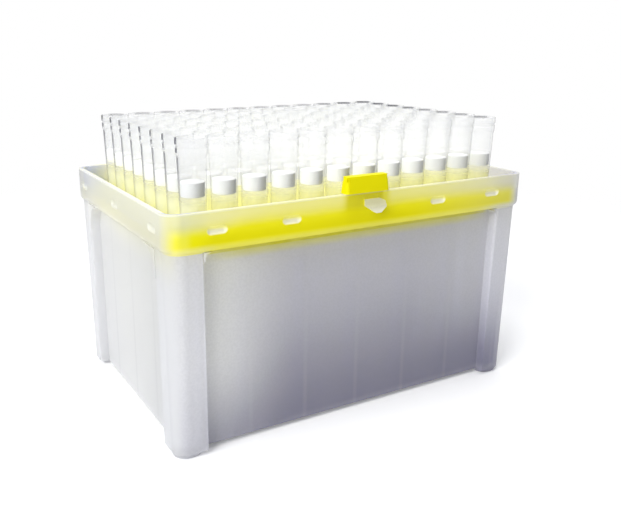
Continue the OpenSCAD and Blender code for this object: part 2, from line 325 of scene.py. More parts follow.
# %% [markdown]
# ## Landmarks on the box
# A finish has to know which part of the moulding it is on. These heights and faces start
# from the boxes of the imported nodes: the plate's deck, the collar round it, the panels and
# the posts below it, and the small things behind the wall that show through.

# %% Landmarks
PLATE_TOP = plate_low.z + 2.9 * MM
COLLAR_FOOT = plate_low.z - 1.3 * MM
COLLAR_X, COLLAR_Y = base_high.x, base_high.x - 20.1 * MM
COLLAR_CORNER = 4.2 * MM
PANEL_X, PANEL_Y = COLLAR_X - 4.0 * MM, COLLAR_Y - 3.9 * MM
POST_X = COLLAR_X - 10.5 * MM
NECK_X, NECK_HALF = -0.6 * MM, 6.35 * MM
RIB_STEP = 2 * pitch
BUMP_Z, BUMP_HALF = PLATE_TOP + 1.65 * MM, 1.7 * MM
BUMPS_X = (25.2 * MM, 47.0 * MM)
BUMPS_Y = (0.0, 31.0 * MM)

INNER_SKIN = (0.6 * MM, 1.1 * MM)
OUTER_SKIN = (0.9 * MM, 1.2 * MM)
RIM_TOP = (base_high.z - 0.5 * MM, base_high.z - 0.1 * MM)
LEFT_EDGE = (-60.5 * MM, -57 * MM)
RIGHT_PART = (12 * MM, 56 * MM)
MIDDLE_SWELLS = (0.35, 0.65)
print("deck at", round(PLATE_TOP / MM, 1), "mm; collar from", round(COLLAR_FOOT / MM, 1), "mm")

# %% [markdown]
# ## Which part of the wall
# The collar's outside and inside differ by their depth in the wall, and the long sides from
# the short ones by the way they face. Both become shares from 0 to 1 that the colours use.

# %% Faces of the box


def wall_depth(made, x, y):
    """How far a point is inside the collar's outside, round its corners too."""
    over_x = made.most([abs(x) - (COLLAR_X - COLLAR_CORNER), 0.0])
    over_y = made.most([abs(y) - (COLLAR_Y - COLLAR_CORNER), 0.0])
    return COLLAR_CORNER - (over_x * over_x + over_y * over_y) ** 0.5


def long_sides(made, x, y):
    """1 on the two long sides and inside the posts' steps, 0 on the two short sides."""
    across = abs(made.turned(0))
    short = made.ramp(across, 0.3, 0.9) * made.ramp(abs(x), PANEL_X - 2 * MM, PANEL_X)
    return made.ramp(abs(y), PANEL_Y - 1.5 * MM, PANEL_Y - 0.5 * MM) * (1 - short)


def inner_end(made, x, y, z):
    """1 on the inside of the collar at its two ends, where the tips leave a bare strip."""
    within = made.ramp(wall_depth(made, x, y), *INNER_SKIN)
    close = made.ramp(abs(x), COLLAR_X - 14 * MM, COLLAR_X - 6 * MM)
    return within * close * made.ramp(z, PLATE_TOP - 0.5 * MM, PLATE_TOP)


# %% [markdown]
# ## Lines and marks in the wall
# Where something on the inside touches a frosted wall, it shows as a soft mark at the foot
# of each rib. Each snap bump's recess gets a painted highlight on its lower edge, and a thin
# darker yellow line is painted into the shade just under the collar.

# %% Marks in the wall


def bumps_seen(made, along, z, places):
    """1 at the lower edge of each snap bump, where its recess catches the light."""
    near = made.least([abs(abs(along) - at) - BUMP_HALF for at in places])
    beyond = made.most([near, 0.0])
    up = z - BUMP_Z
    reach = (beyond * beyond + up * up) ** 0.5
    inside = made.fall(reach, 0.9 * MM, 1.4 * MM)
    return inside * made.ramp(up, -0.5 * MM, 0.7 * MM, 1.0, 0.15)


def rib_lines(made, along, z):
    """1 along the soft line where a rib meets a wall from the inside."""
    across = made.node("ShaderNodeMath", {"operation": "PINGPONG"}, {0: along, 1: RIB_STEP / 2})
    top = made.ramp(z, COLLAR_FOOT - 40 * MM, COLLAR_FOOT - 2 * MM, 1.0, 0.3)
    return made.fall(across, 0.1 * MM, 1.1 * MM) * top


def collar_shadow_line(made, x, spot, z):
    """1 in the thin line just under the collar, where a darker yellow is painted into its shade."""
    line = made.ramp(z, COLLAR_FOOT - 1.8 * MM, COLLAR_FOOT - 1.3 * MM)
    line = line * made.fall(z, COLLAR_FOOT + 0.15 * MM, COLLAR_FOOT + 0.5 * MM)
    between = made.fall(abs(x), POST_X - 3 * MM, POST_X)
    uneven = made.ramp(made.noise(spot, 90.0, 1.0), *MIDDLE_SWELLS, 0.75, 1.0)
    return line * between * uneven * made.ramp(x, -10 * MM, 50 * MM, 1.0, 0.7)


# %% [markdown]
# ## Yellow through the collar
# The plate fills the collar, so the collar glows yellow from inside. The glow is strongest
# at the deck, thins out above it, reaches a little down the panel below, and fades towards
# the ends. It is laid out by place, one share for each of these.

# %% Yellow along a long side


def tab_neck(made, x, y):
    """1 where the neck of the thumb tab stands close behind the front wall."""
    near = made.fall(abs(x - NECK_X), NECK_HALF - 0.2 * MM, NECK_HALF + 2.4 * MM)
    return near * made.ramp(y, -COLLAR_Y + 1.6 * MM, -COLLAR_Y + 1.0 * MM)


def yellow_band(made, x, z, neck):
    """How yellow the collar is in front of the plate: full at the deck, hazier above it."""
    up = z - PLATE_TOP
    left_haze = made.ramp(x, -50 * MM, -25 * MM, 0.55, 0.70)
    right_haze = made.ramp(x, 10 * MM, 60 * MM, 0.0, 0.38)
    left_lift = made.ramp(x, -52 * MM, -36 * MM, 1.0 * MM, 0.0)
    right_lift = made.ramp(x, 0.0, 50 * MM, 0.0, 0.8 * MM)
    raised = up + made.most([left_lift, right_lift])
    haze = made.ramp(raised, 1.2 * MM, 5.6 * MM, 1.0, left_haze - right_haze)
    between = made.fall(abs(x), POST_X - 5 * MM, POST_X + 1 * MM)
    corner = made.ramp(x, 40 * MM, 54 * MM, 0.0, 0.5)
    foot = made.ramp(up, -3.4 * MM, -1.5 * MM, 0.68 + 0.16 * between - corner, 1.0)
    return foot * (haze + neck * (1 - haze)) * (1 - 0.15 * made.ramp(x, *RIGHT_PART))


def yellow_below(made, x, z):
    """The weaker yellow on the panel just under the collar."""
    wide = made.ramp(z, COLLAR_FOOT - 4.4 * MM, COLLAR_FOOT - 1.6 * MM, 0.0, 0.6)
    close = made.ramp(z, COLLAR_FOOT - 1.2 * MM, COLLAR_FOOT - 0.3 * MM, 0.0, 0.25)
    return (wide + close) * made.fall(abs(x), 36 * MM, 52 * MM)


def yellow_ends(made, x):
    """What is left of the yellow towards the two ends of a long side."""
    left = made.ramp(x, -COLLAR_X - 1 * MM, -COLLAR_X + 1 * MM, 0.0, 0.92)
    left = left + made.ramp(x, -COLLAR_X + 5 * MM, -COLLAR_X + 7.5 * MM, 0.0, 0.08)
    return left * made.fall(x, COLLAR_X - 6.9 * MM, COLLAR_X - 2.1 * MM)


# %% [markdown]
# On the inside of the collar above the deck, and on top of its rim, no plate lies behind the
# wall, so the yellow drops there. The short sides only get a faint trace, with more of it
# next to the front.

# %% Yellow all round


def yellow_inside(made, x, y, z, neck):
    """What is left of the yellow on the inside of the collar."""
    outside = made.fall(wall_depth(made, x, y), *INNER_SKIN)
    inner_ends = made.ramp(abs(x), COLLAR_X - 16 * MM, COLLAR_X - 7 * MM, 0.92, 1.0)
    above = made.ramp(z, PLATE_TOP - 1 * MM, PLATE_TOP)
    return 1 - inner_ends * (1 - outside) * above * (1 - neck)


def yellow_rim(made, y, z):
    """What is left of the yellow on top of the rim, more of it at the front."""
    share = made.ramp(y, -COLLAR_Y + 3 * MM, -COLLAR_Y + 6 * MM, 0.65, 0.15)
    return made.ramp(z, *RIM_TOP, 1.0, share)


def plate_seen(made, x, y, z, long_side):
    """How much of the yellow plate shows through the wall in front of it."""
    neck = tab_neck(made, x, y)
    band = yellow_band(made, x, z, neck)
    below = yellow_below(made, x, z)
    on_collar = made.ramp(z, COLLAR_FOOT, COLLAR_FOOT + 0.1 * MM)
    along = (below + on_collar * (band - below)) * yellow_ends(made, x)
    along = along * yellow_inside(made, x, y, z, neck) * yellow_rim(made, y, z)
    trace = made.ramp(z, COLLAR_FOOT - 10 * MM, COLLAR_FOOT + 3 * MM, 0.0, 0.12)
    trace = trace * made.fall(y, 8 * MM, COLLAR_Y - 4 * MM)
    front = made.ramp(y, -COLLAR_Y, -COLLAR_Y + 5 * MM, 0.5, 0.0)
    front = front * made.fall(x, -COLLAR_X, 0.0)
    side = trace + front * on_collar * band
    return side + long_side * (along - side)


# %% [markdown]
# ## Shades of the walls
# Light wanders a long way inside a frosted box before it comes out, and each wall's slow
# light and shade is painted into its colour by place: lighter nearest the window lamp, grey
# low down and towards the back, so it stays as it is when the lamps move. The short wall is
# painted bright in its middle, and its collar is painted grey towards the back, as shade.

# %% Short walls
SHORT_TINTS = rgb(0.775, 0.78, 0.795), rgb(0.805, 0.81, 0.825)
SHORT_LIT_TINT = rgb(0.96, 0.96, 0.965)
SHORT_COLLAR_TINT = rgb(0.81, 0.81, 0.80)
SHORT_BACK_SHADE_TINT = rgb(0.50, 0.50, 0.52)


def short_walls(made, y, z, cloud, collar):
    """The short sides with their collar: painted light in the middle, painted shade at the back."""
    plain = made.blend(cloud, *SHORT_TINTS)
    # painted light: the middle of a short wall is made brighter, most of all just under the collar
    lit = made.ramp(y, -30 * MM, 10 * MM) * made.fall(y, 28 * MM, 38 * MM)
    under_foot = made.ramp(z, COLLAR_FOOT - 12 * MM, COLLAR_FOOT - 1 * MM, 0.5, 0.95)
    plain = made.blend(lit * under_foot, plain, SHORT_LIT_TINT)
    high = made.ramp(z, PLATE_TOP - 2 * MM, PLATE_TOP + 3 * MM)
    plain = made.blend(collar * (0.5 + 0.5 * high), plain, SHORT_COLLAR_TINT)
    # painted shade: the collar goes grey towards the back
    back = made.ramp(y, 20 * MM, COLLAR_Y - 2 * MM)
    back = back * made.ramp(z, COLLAR_FOOT, base_high.z, 0.3, 1.0)
    return made.blend(back * collar * 0.6, plain, SHORT_BACK_SHADE_TINT)


# %% [markdown]
# A long wall is painted with light and shade: light at the left, nearest the window lamp,
# deep grey low down, and a little lighter again at the right, along the bottom edge and under
# the collar. The posts are painted paler, as light, a fine speckle lies over both, and the
# collar is clearer than the rest, with painted light at its left end and a little painted
# shade towards the right.

# %% Long walls
PANEL_HIGH_TINT, PANEL_DEEP_SHADE_TINT = rgb(0.68, 0.675, 0.78), rgb(0.27, 0.26, 0.37)
PANEL_LIT_TINT = rgb(0.97, 0.97, 1.0)
POST_LIGHT_TINTS = rgb(0.77, 0.77, 0.81), rgb(0.85, 0.85, 0.885)
SPECKLE_TINT = rgb(0.25, 0.25, 0.30)
COLLAR_TINTS = rgb(0.86, 0.86, 0.88), rgb(0.80, 0.80, 0.82)
COLLAR_LIT_END_TINT = rgb(0.97, 0.97, 0.97)


def long_panels(made, x, z):
    """The long panels' colour: deep grey painted shade low down, painted light at the left."""
    # painted shade: the panel turns deep grey low down
    grey = made.blend(made.fall(z, 2 * MM, 48 * MM), PANEL_HIGH_TINT, PANEL_DEEP_SHADE_TINT)
    # painted light at the left, the right, along the bottom edge and just under the collar
    left = made.fall(x, -48 * MM, -20 * MM) * made.ramp(z, 0.0, 30 * MM, 0.32, 1.0)
    right = made.ramp(x, 15 * MM, 50 * MM, 0.0, 0.3) * made.ramp(z, 8 * MM, 32 * MM)
    hem_light = made.ramp(z, 1.5 * MM, 4 * MM, 0.09, 0.0)
    top = made.ramp(z, COLLAR_FOOT - 7 * MM, COLLAR_FOOT - 1 * MM, 0.0, 0.2)
    return made.blend(made.most([left, right, hem_light, top]), grey, PANEL_LIT_TINT)


def with_posts(made, x, z, wall):
    """A paler colour painted over the posts as light, most on the left post, least low on the
    right.
    """
    left_post = made.ramp(x, -POST_X - 0.4 * MM, -POST_X + 0.4 * MM, 0.92, 0.0)
    right_post = made.ramp(x, POST_X - 0.5 * MM, POST_X + 0.5 * MM)
    right_post = right_post * made.ramp(z, 0.0, 48 * MM, 0.12, 0.92)
    # painted light on the posts, darker low down
    post = made.blend(made.ramp(z, 4 * MM, 34 * MM), *POST_LIGHT_TINTS)
    return made.blend(made.most([left_post, right_post]), wall, post)


def long_walls(made, x, z, spot, collar):
    """The long sides: panel, posts, a fine speckle, and the clearer collar with painted light and
    shade.
    """
    wall = with_posts(made, x, z, long_panels(made, x, z))
    speckle = made.ramp(made.noise(spot, 1500.0, 2.0), *MIDDLE_SWELLS, 0.0, 0.07)
    wall = made.blend(speckle, wall, SPECKLE_TINT)
    # painted shade: the collar goes a little darker towards the right
    clear = made.blend(made.ramp(x, *RIGHT_PART), *COLLAR_TINTS)
    # painted light at the collar's left end
    lit_left_end = made.fall(x, -58 * MM, -46 * MM) * made.ramp(x, *LEFT_EDGE)
    clear = made.blend(lit_left_end, clear, COLLAR_LIT_END_TINT)
    return made.blend(collar, wall, clear)


# %% [markdown]
# The colour of the whole box is put together in this order: walls, ribs, yellow, and last
# the thick plastic of the rim, the catch and the bumps, with its painted highlights and shade.

# %% Colours of the base
INNER_STRIP_SHADE_TINTS = rgb(0.49, 0.54, 0.95), rgb(0.60, 0.60, 0.86)
LONG_RIB_TINT, LONG_RIB_SHARE = rgb(0.85, 0.85, 0.88), 0.07
SHORT_RIB_TINT, SHORT_RIB_SHARE = rgb(0.70, 0.70, 0.73), 0.3
YELLOW_TINTS = rgb(0.90, 0.845, 0.0), rgb(1.0, 0.95, 0.0)
SHADOW_LINE_TINT = rgb(0.84, 0.79, 0.0)
SOLID_SHADE_AND_HIGHLIGHT_TINTS = rgb(0.78, 0.78, 0.62), rgb(0.97, 0.97, 0.90)


def ribbed_walls(made, x, y, z, spot, cloud, long_side, collar):
    """All the walls' colours together, with painted shade on the bare strips inside and the ribs'
    lines.
    """
    short = short_walls(made, y, z, cloud, collar)
    plain = made.blend(long_side, short, long_walls(made, x, z, spot, collar))
    # painted shade: the bare strips inside the collar's ends are a darker blue grey
    strip = made.blend(made.ramp(x, 0.0, 50 * MM), *INNER_STRIP_SHADE_TINTS)
    plain = made.blend(inner_end(made, x, y, z), plain, strip)
    ribs = rib_lines(made, x, z) * long_side * (1 - collar) * LONG_RIB_SHARE
    ribbed = made.blend(ribs, plain, LONG_RIB_TINT)
    side_ribs = rib_lines(made, y, z) * (1 - long_side) * (1 - collar) * SHORT_RIB_SHARE
    return made.blend(side_ribs, ribbed, SHORT_RIB_TINT)


def warmed(made, x, y, z, spot, long_side, ribbed):
    """The walls with the yellow that shows through them, and a yellow line painted into the shade.
    """
    # a brighter yellow near the collar's foot, and painted light at the left end
    brighter = made.most([made.fall(z, COLLAR_FOOT + 1 * MM, COLLAR_FOOT + 3 * MM),
                          made.fall(x, -56 * MM, -46 * MM)])
    brighter = brighter * made.ramp(x, *LEFT_EDGE)
    yellow = made.blend(brighter, *YELLOW_TINTS)
    warm = made.blend(plate_seen(made, x, y, z, long_side), ribbed, yellow)
    # painted shade: a thin darker yellow line just under the collar
    return made.blend(collar_shadow_line(made, x, spot, z) * long_side, warm, SHADOW_LINE_TINT)


def with_highlights(made, x, y, z, long_side, warm):
    """The rim, the catch's nub and the bumps, where the plastic is thick, with painted highlights.
    """
    # painted highlight along the top of the rim, weaker towards the right and on the long sides
    rim = made.ramp(z, *RIM_TOP) * (1 - 0.8 * long_side)
    rim = rim * made.ramp(x, 20 * MM, 55 * MM, 1.0, 0.2)
    nub = made.ramp(y, base_low.y + 1.4 * MM, base_low.y + 1.0 * MM)
    bumps = bumps_seen(made, x, z, BUMPS_X) * long_side
    side_bumps = bumps_seen(made, y, z, BUMPS_Y) * (1 - long_side)
    outer = made.fall(wall_depth(made, x, y), *OUTER_SKIN)
    thick = made.most([rim, nub, (bumps + side_bumps) * outer])
    under = made.fall(z, PLATE_TOP + 1 * MM, PLATE_TOP + 4 * MM)
    # painted highlight on the rim, the bumps and the nub's lower part, painted shade on its upper
    # part
    solid_highlight_and_shade = made.blend(made.most([under, 1 - nub]), *SOLID_SHADE_AND_HIGHLIGHT_TINTS)
    return made.blend(thick, warm, solid_highlight_and_shade)


# %% [markdown]
# ## Frosted polypropylene
# The box is moulded in natural polypropylene with a spark-eroded outside, which is what
# frosts it. Such a wall does three things at once: it scatters light back, it lets light
# glow through, and where something touches or nearly touches it from behind, that shows.
# A Principled shader, a Translucent shader and a little Transparent are mixed for the three.

# %% Frosted base
BASE_GLOSS = 0.16
BASE_GLOW, BASE_SIGHT, TOUCHING_LOSS = 0.4, 0.3, 0.26


def frosted_base():
    """The finish of the box."""
    made = Finish("frosted_base")
    spot = made.spot()
    x, y, z = made.parts(spot)
    cloud = made.noise(spot, 60.0, 3.0)
    grain = made.noise(spot, 2600.0, 2.0)
    long_side = long_sides(made, x, y)
    collar = made.ramp(z, COLLAR_FOOT, COLLAR_FOOT + 0.2 * MM)
    ribbed = ribbed_walls(made, x, y, z, spot, cloud, long_side, collar)
    warm = warmed(made, x, y, z, spot, long_side, ribbed)
    tint = with_highlights(made, x, y, z, long_side, warm)

    skin = made.node("ShaderNodeBsdfPrincipled", {}, {
        "Base Color": tint, "Roughness": made.ramp(cloud, 0.2, 0.8, 0.45, 0.55),
        "IOR": PLASTIC_IOR, "Specular IOR Level": BASE_GLOSS,
        "Normal": made.bump(grain, 0.06 * MM, 0.35)})
    glow = made.node("ShaderNodeBsdfTranslucent", {}, {"Color": tint})
    sight = made.node("ShaderNodeBsdfTransparent", {}, {"Color": CLEAR})
    wall = made.mixed(BASE_GLOW, skin, glow)
    touching = made.fall(z, PLATE_TOP + 1 * MM, PLATE_TOP + 3.5 * MM) * long_side * collar
    return made.finish(made.mixed(BASE_SIGHT - TOUCHING_LOSS * touching, wall, sight))


base_finish = frosted_base()

# %% [markdown]
# ## Yellow plate
# The plate is coloured polypropylene with a satin skin. A little light passes through its
# thin edges, so a Translucent share keeps its shaded side from going brown.

# %% Yellow plate
PLATE_TINTS = rgb(0.80, 0.74, 0.0), rgb(0.86, 0.79, 0.0)
PLATE_GLOW_TINT, PLATE_GLOW = rgb(0.9, 0.85, 0.0), 0.25
PLATE_GLOSS = 0.12


def yellow_plate():
    """The finish of the tip plate."""
    made = Finish("yellow_plate")
    spot = made.spot()
    cloud = made.noise(spot, 80.0, 2.0)
    grain = made.noise(spot, 3000.0, 2.0)
    skin = made.node("ShaderNodeBsdfPrincipled", {}, {
        "Base Color": made.blend(cloud, *PLATE_TINTS),
        "Roughness": made.ramp(cloud, 0.2, 0.8, 0.42, 0.52),
        "IOR": PLASTIC_IOR, "Specular IOR Level": PLATE_GLOSS,
        "Normal": made.bump(grain, 0.04 * MM, 0.2)})
    glow = made.node("ShaderNodeBsdfTranslucent", {}, {"Color": PLATE_GLOW_TINT})
    return made.finish(made.mixed(PLATE_GLOW, skin, glow))


plate_finish = yellow_plate()

# %% [markdown]
# ## Clear tips
# Polished thin walls are nearly invisible face on. What shows is a little milk in the
# plastic, the yellow light of the deck painted into the lower part of each tip, and a painted
# shade at the filter and above it, so the body's colour follows the height. The first column
# is painted a little darker as shade, with more of the deck's yellow low down.

# %% Body of a tip
TIP_TINTS = rgb(0.92, 0.93, 0.93), rgb(0.95, 0.95, 0.95)
TIP_SHADE_TINT = rgb(0.63, 0.64, 0.64)
FIRST_TIPS_SHADE_TINT, FIRST_TIPS_SHARE = rgb(0.66, 0.67, 0.69), 0.25
LOW_YELLOW_LIGHT_TINTS = rgb(0.78, 0.775, 0.50), rgb(0.88, 0.89, 0.78)
TIP_ROUGHNESS = 0.12
TIP_GLOW = 0.5
MILK_LOW, MILK_HIGH = 0.42, 0.23


def tip_tint(made, x, y, z, cloud):
    """A tip's colour: painted deck yellow low down, painted shade half-way up, pale at the rim."""
    # painted yellow light from the deck low in each tip, more of it in the first column
    low = made.fall(z, PLATE_TOP + 5.5 * MM, PLATE_TOP + 9.5 * MM)
    pale = made.blend(cloud, *TIP_TINTS)
    # painted shade at the filter and just above it, strongest in the front rows at the left
    dim_shade = made.ramp(z, PLATE_TOP + 10 * MM, PLATE_TOP + 13.5 * MM, 0.55, 1.0)
    dim_shade = dim_shade * made.fall(z, PLATE_TOP + 16 * MM, PLATE_TOP + 21 * MM)
    dim_shade = dim_shade * made.ramp(y, -35 * MM, 10 * MM, 1.0, 0.4) * made.ramp(x, -30 * MM, 0.0, 1.0, 0.45)
    pale = made.blend(dim_shade * 0.5, pale, TIP_SHADE_TINT)
    # painted shade: the first column is a little darker
    first_tips = made.fall(x, FIRST_COLUMN_X - 4 * MM, FIRST_COLUMN_X + 4 * MM)
    pale = made.blend(first_tips * FIRST_TIPS_SHARE, pale, FIRST_TIPS_SHADE_TINT)
    return made.blend(low, pale, made.blend(first_tips, *LOW_YELLOW_LIGHT_TINTS))


def tip_body(made, z, tint, relief):
    """A tip's wall: mostly clear, with a share of milky plastic that grows low down."""
    skin = made.node("ShaderNodeBsdfPrincipled", {}, {
        "Base Color": tint, "Roughness": TIP_ROUGHNESS, "IOR": PLASTIC_IOR, "Normal": relief})
    glow = made.node("ShaderNodeBsdfTranslucent", {}, {"Color": tint})
    sight = made.node("ShaderNodeBsdfTransparent", {}, {"Color": CLEAR})
    milk = made.ramp(z, PLATE_TOP + 5 * MM, PLATE_TOP + 9 * MM, MILK_LOW, MILK_HIGH)
    return made.mixed(milk, sight, made.mixed(TIP_GLOW, skin, glow))


# %% [markdown]
# A clear wall shows best at its edges, where light has to cross more plastic. A Layer Weight
# finds those edges and drives the share of a dark outline, painted as the reflection of dark
# surroundings. The left flank of the first column has the strongest lines, since nothing
# stands beside it, and the last column and the back row have short painted arcs on the far
# side of their rims. All others only get a faint edge.

# %% Outline of a tip
SLEEVE_FOOT_SEEN, SLEEVE_SLOPE = 3.17 * MM, 0.0226
RING_MIDDLE = 2.0 * MM
RIM_STEPS = (1.8, 2.3, 4.1, 4.6)
AWAY_X, AWAY_Y = 0.5, 0.87
DARK_REFLECTION_TINT = rgb(0.08, 0.08, 0.10)
OUTLINE_ROUGHNESS, OUTLINE_GLOSS = 0.3, 0.2


def flank_lines(made, x, y, side, beyond, down):
    """The painted dark reflection on the left flank of the first column: dashes on the rings, one
    long line.
    """
    ring = made.ramp(beyond, 0.33 * MM, 0.42 * MM)
    flank = made.fall(x, FIRST_COLUMN_X - 2.4 * MM, FIRST_COLUMN_X - 1.8 * MM)
    fading = made.ramp(down, 4 * MM, 20 * MM, 0.5, 0.15)
    groove = made.ramp(abs(down - RING_MIDDLE), 0.42 * MM, 0.58 * MM)
    groove = groove * made.fall(down, 3.5 * MM, 3.8 * MM)
    front_darker = made.ramp(y, -32 * MM, -26 * MM, 0.75, 0.58)
    ring_dash = made.ramp(side, 0.44, 0.60) * ring * groove * front_darker
    long_line = made.ramp(side, 0.42, 0.62) * made.ramp(down, 4.5 * MM, 4.9 * MM) * fading
    return made.most([ring_dash, long_line]) * flank


def rim_arcs(made, x, y, across, along, down):
    """Short dark arcs painted as reflection on the far side of the rims of the back row and last
    column.
    """
    away = across * AWAY_X + along * AWAY_Y
    sideways = abs(across * AWAY_Y - along * AWAY_X)
    back_row = made.ramp(y, BACK_ROW_Y, BACK_ROW_Y + 1 * MM)
    back_row = back_row * made.ramp(x, 24 * MM, 48 * MM, 0.27, 0.62)
    last_column = made.ramp(x, LAST_COLUMN_X, LAST_COLUMN_X + 1 * MM)
    last_column = last_column * made.ramp(y, -10 * MM, 20 * MM, 0.37, 0.62)
    arcs = made.most([back_row, last_column]) * made.ramp(away, 2.2 * MM, 3.0 * MM)
    arcs = arcs * made.fall(down, 0.5 * MM, 0.9 * MM)
    return arcs * made.fall(sideways, 1.8 * MM, 3.6 * MM)


def faint_edges(made, side, down):
    """A faint dark edge painted on every tip as reflection, and at the steps of its two rings."""
    steps = made.least([abs(down - at * MM) for at in RIM_STEPS])
    return made.ramp(side, 0.5, 0.85) * 0.2 + made.ramp(steps, 0.1 * MM, 0.3 * MM, 0.08, 0.0)


def dark_reflection_share(made, x, y, z):
    """How much of the painted dark reflection shows at a point of a tip."""
    side = made.node("ShaderNodeLayerWeight", {}, {"Blend": 0.5}, 1)
    across, along = made.from_middle(x), made.from_middle(y)
    radius = (across * across + along * along) ** 0.5
    beyond = radius - (z - PLATE_TOP) * SLEEVE_SLOPE - SLEEVE_FOOT_SEEN
    outer = made.ramp(beyond, 0.0, 0.02 * MM)
    down = tip_high.z - z
    edge = flank_lines(made, x, y, side, beyond, down)
    arcs = rim_arcs(made, x, y, across, along, down)
    return made.most([edge * outer, arcs, faint_edges(made, side, down) * outer])


# %% [markdown]
# The outline lies over the body as a share of a dark shader that paints the reflection, so
# that the body shows wherever there is no line.

# %% Clear tips


def clear_tip():
    """The finish of the tips."""
    made = Finish("clear_tip")
    spot = made.spot()
    x, y, z = made.parts(spot)
    cloud = made.noise(spot, 400.0, 2.0)
    tint = tip_tint(made, x, y, z, cloud)
    body = tip_body(made, z, tint, made.bump(cloud, 0.02 * MM, 0.1))
    outline = made.node("ShaderNodeBsdfPrincipled", {}, {
        "Base Color": DARK_REFLECTION_TINT, "Roughness": OUTLINE_ROUGHNESS, "IOR": PLASTIC_IOR,
        "Specular IOR Level": OUTLINE_GLOSS})
    return made.finish(made.mixed(dark_reflection_share(made, x, y, z), body, outline))


tip_finish = clear_tip()

# %% [markdown]
# ## Filter plugs
# The plugs are sintered polyethylene: tiny white grains fused into a matt block. A fine
# noise gives the grains, as bump and as a slight change of white. The sides of the plugs are
# painted darker to the right, as shade. In the first column the side that faces the window
# is painted light, with a little painted yellow light low down.

# %% White filters
FADE_SPAN = (10 * MM, 44 * MM)
SIDE_LIGHT_TO_SHADE_TINTS, SIDE_SHADE_TINT = (rgb(0.62, 0.63, 0.63), rgb(0.49, 0.495, 0.48)), rgb(0.24, 0.25, 0.25)
WINDOW_LIGHT_TINTS = rgb(0.76, 0.765, 0.76), rgb(0.78, 0.78, 0.60)
GRAIN_TINT, GRAIN_SHARE = rgb(0.9, 0.9, 0.9), 0.15
TOP_TINTS = rgb(0.60, 0.60, 0.59), rgb(0.68, 0.68, 0.67)


def plug_side(made, x, y, z, grain):
    """The colour of the plugs' sides, with painted shade and the window side's painted light."""
    # painted shade: each plug's side goes darker to the right, and so do the sides across the rack
    across = made.ramp(made.from_middle(x), -2.6 * MM, 3.0 * MM)
    across = across * made.ramp(x, *FADE_SPAN, 1.0, 0.4)
    light = made.blend(made.ramp(x, *FADE_SPAN), *SIDE_LIGHT_TO_SHADE_TINTS)
    wall = made.blend(across, light, SIDE_SHADE_TINT)
    # painted light on the first column's side that faces the window, with painted yellow light low
    # down
    window = made.fall(x, FIRST_COLUMN_X, FIRST_COLUMN_X + pitch / 2)
    window = window * made.ramp(y, -32 * MM, -12 * MM, 0.0, 0.8)
    lower = made.fall(z, PLATE_TOP + 8.7 * MM, PLATE_TOP + 11 * MM)
    wall = made.blend(window, wall, made.blend(lower, *WINDOW_LIGHT_TINTS))
    return made.blend(grain * GRAIN_SHARE, wall, GRAIN_TINT)


def white_filter():
    """The finish of the filter plugs."""
    made = Finish("white_filter")
    spot = made.spot()
    x, y, z = made.parts(spot)
    grain = made.noise(spot, 4500.0, 3.0)
    top = made.blend(grain, *TOP_TINTS)
    on_top = made.ramp(made.turned(2), 0.3, 0.9)
    return made.finish(made.node("ShaderNodeBsdfPrincipled", {}, {
        "Base Color": made.blend(on_top, plug_side(made, x, y, z, grain), top),
        "Roughness": made.ramp(grain, 0.2, 0.8, 0.8, 0.95),
        "Normal": made.bump(grain, 0.12 * MM, 0.5)}))


plug_finish = white_filter()

# %% [markdown]
# ## Shaping the tips
# A filter tip is a long thin tube. Two rings stiffen its rim, a wide sleeve ends in the
# shoulder that it hangs by, and a slender cone runs down to the point. It could be put
# together from cones and cylinders, but one outline of its wall, spun once round the axis,
# gives the outside, the bore and the rim in a single closed skin. The outline's corners are
# rounded before the spin: bevelling a few points costs nothing there, and the soft rings
# catch light as moulded ones do.

# %% Spin an outline
SPIN_STEPS = 40
ROUNDING_STEPS = 3
SAME_POINT = 0.001 * MM


def spun(name, outline, closed, rounding):
    """A round skin: the outline's points are (radius, height), and its corners are rounded."""
    build = bmesh.new()
    points = [build.verts.new((radius, 0.0, height)) for radius, height in outline]
    ends = points[1:] + points[:1] if closed else points[1:]
    for start, end in zip(points, ends):
        build.edges.new((start, end))
    corners = points if closed else points[1:-1]
    bmesh.ops.bevel(build, geom=corners, offset=rounding, offset_type="OFFSET",
                    segments=ROUNDING_STEPS, profile=0.5, affect="VERTICES",
                    clamp_overlap=True, material=-1)
    bmesh.ops.spin(build, geom=build.verts[:] + build.edges[:], cent=(0, 0, 0), axis=(0, 0, 1),
                   angle=math.tau, steps=SPIN_STEPS, use_merge=True)
    bmesh.ops.remove_doubles(build, verts=build.verts, dist=SAME_POINT)
    bmesh.ops.recalc_face_normals(build, faces=build.faces)
    for face in build.faces:
        face.smooth = True
    skin = bpy.data.meshes.new(name)
    build.to_mesh(skin)
    build.free()
    print(name, len(skin.vertices), "vertices,", len(skin.polygons), "faces")
    return skin


# %% [markdown]
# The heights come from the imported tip: its rim, its point, and the plate it stands on. The
# radii follow the wall down one side and back up the bore.

# %% Spin one tip and one plug
WALL = 0.38 * MM
RING, GROOVE = 1.8 * MM, 0.5 * MM
SECOND_RING_R = 4.12 * MM
SLEEVE_TOP_R, SLEEVE_FOOT_R = 3.9 * MM, 3.36 * MM
CONE_TOP_R, CONE_BEND_R = 2.9 * MM, 1.6 * MM
CONE_BEND_UP = 16.0 * MM
POINT_R, POINT_BORE_R = 0.52 * MM, 0.26 * MM
BORE_STEP, STEP_UP = 1.5 * MM, 0.2 * MM
BORE_FLARE = 0.03 * MM
TIP_ROUNDING, PLUG_ROUNDING = 0.16 * MM, 0.2 * MM
PLUG_TAPER = 0.08 * MM

